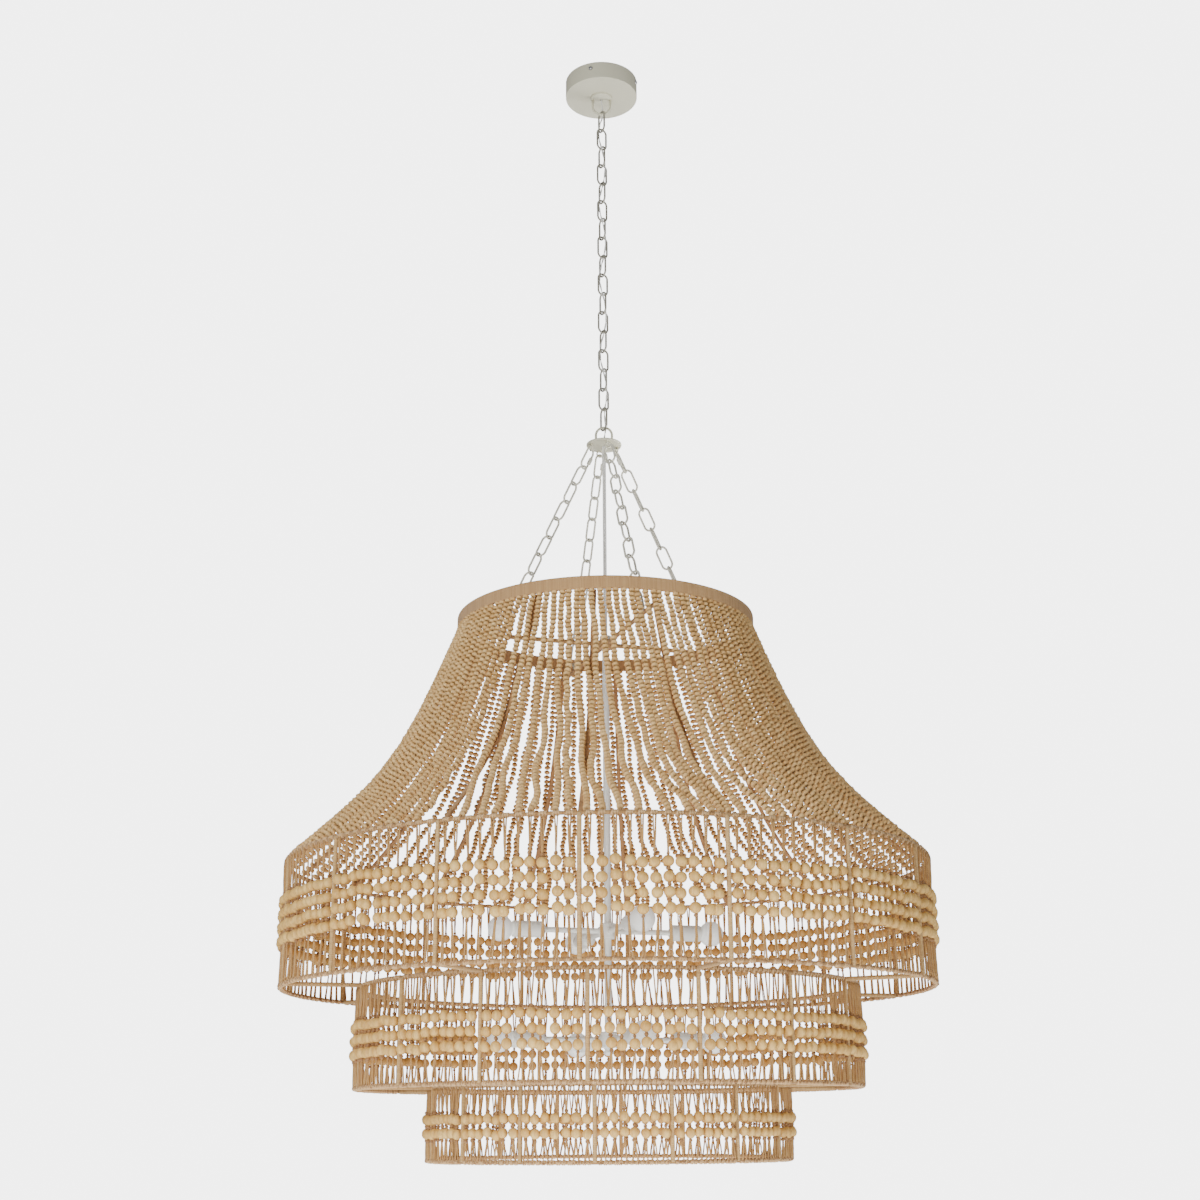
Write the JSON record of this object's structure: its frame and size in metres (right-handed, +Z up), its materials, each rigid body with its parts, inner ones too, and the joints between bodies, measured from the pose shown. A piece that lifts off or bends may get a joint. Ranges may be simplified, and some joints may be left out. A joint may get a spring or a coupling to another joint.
{
  "type": "beaded chandelier",
  "caption": "Hanging chandelier: a bell and three stepped tiers of wood beads on a raffia-wrapped wire frame, held by chains under a round canopy.",
  "frame": {"origin": "centre of the ceiling plate's top face, where it meets the ceiling", "axes": "+Z up, out of the ceiling plate; the picture looks along +Y from below, with +X to the right"},
  "size_m": [1.1862, 1.1862, 2.1952],
  "materials": {
    "ivory_metal": "aged ivory paint on steel, slightly satin",
    "chain_metal": "aged ivory and silver paint on steel chain",
    "lamp_metal": "ivory paint on the lamp tree",
    "bracket_steel": "zinc-plated steel bracket",
    "terminal_plastic": "matt white terminal housing",
    "clear_cord": "clear-silver sheathed supply cord",
    "raffia_wrap": "natural raffia wound tightly round steel wire",
    "small_beads": "small turned wood beads on raffia strings",
    "wood_beads": "pale turned wood beads with raffia knots",
    "frosted_glass": "frosted white glass globes"
  },
  "bodies": {
    "ceiling_canopy": {"ceiling_plate": "bracket_steel", "canopy": "ivory_metal", "canopy_screw_1": "ivory_metal", "canopy_screw_2": "ivory_metal", "canopy_screw_3": "ivory_metal", "canopy_screw_4": "ivory_metal", "terminal_block": "terminal_plastic", "canopy_loop": "ivory_metal", "supply_cord": "clear_cord"},
    "top_link": {"chain_link_01": "chain_metal"},
    "chain": {"chain_link_02": "chain_metal", "chain_link_03": "chain_metal", "chain_link_04": "chain_metal", "chain_link_05": "chain_metal", "chain_link_06": "chain_metal", "chain_link_07": "chain_metal", "chain_link_08": "chain_metal", "chain_link_09": "chain_metal", "chain_link_10": "chain_metal", "chain_link_11": "chain_metal", "chain_link_12": "chain_metal", "chain_link_13": "chain_metal", "chain_link_14": "chain_metal", "chain_link_15": "chain_metal", "chain_link_16": "chain_metal"},
    "bottom_link": {"chain_link_17": "chain_metal"},
    "shade": {"chain_hub": "ivory_metal", "lower_chain_1": "chain_metal", "lower_chain_2": "chain_metal", "lower_chain_3": "chain_metal", "lower_chain_4": "chain_metal", "lamp_cord": "clear_cord", "crown_brace": "raffia_wrap", "flare_frame": "raffia_wrap", "flare_strands": "small_beads", "tier_1_frame": "raffia_wrap", "tier_2_frame": "raffia_wrap", "tier_3_frame": "raffia_wrap", "tier_1_beads": "wood_beads", "tier_2_beads": "wood_beads", "tier_3_beads": "wood_beads", "lamp_stem": "lamp_metal", "upper_lamp_arms": "lamp_metal", "lower_lamp_arms": "lamp_metal", "upper_socket_1": "lamp_metal", "upper_socket_2": "lamp_metal", "upper_socket_3": "lamp_metal", "upper_socket_4": "lamp_metal", "upper_bulb_1": "frosted_glass", "upper_bulb_2": "frosted_glass", "upper_bulb_3": "frosted_glass", "upper_bulb_4": "frosted_glass", "lower_socket_1": "lamp_metal", "lower_socket_2": "lamp_metal", "lower_socket_3": "lamp_metal", "lower_socket_4": "lamp_metal", "lower_bulb_1": "frosted_glass", "lower_bulb_2": "frosted_glass", "lower_bulb_3": "frosted_glass", "lower_bulb_4": "frosted_glass"}
  },
  "joints": [
    {"name": "canopy_swing", "type": "hinge", "parent": "ceiling_canopy", "child": "top_link", "pos_m": [0, 0, -0.0772], "axis": [1, 0, 0], "range_deg": [-15, 15], "deforming": ["supply_cord"]},
    {"name": "chain_swing", "type": "hinge", "parent": "top_link", "child": "chain", "pos_m": [0, 0, -0.1198], "axis": [-0.5299, 0.848, 0], "range_deg": [-15, 15], "deforming": ["supply_cord"]},
    {"name": "bottom_link_swing", "type": "hinge", "parent": "chain", "child": "bottom_link", "pos_m": [0, 0, -0.7648], "axis": [0.848, 0.5299, 0], "range_deg": [-8, 8], "deforming": ["supply_cord"]},
    {"name": "shade_swing", "type": "hinge", "parent": "bottom_link", "child": "shade", "pos_m": [0, 0, -0.8078], "axis": [-0.5299, 0.848, 0], "range_deg": [-8, 8], "deforming": ["supply_cord"]}
  ]
}
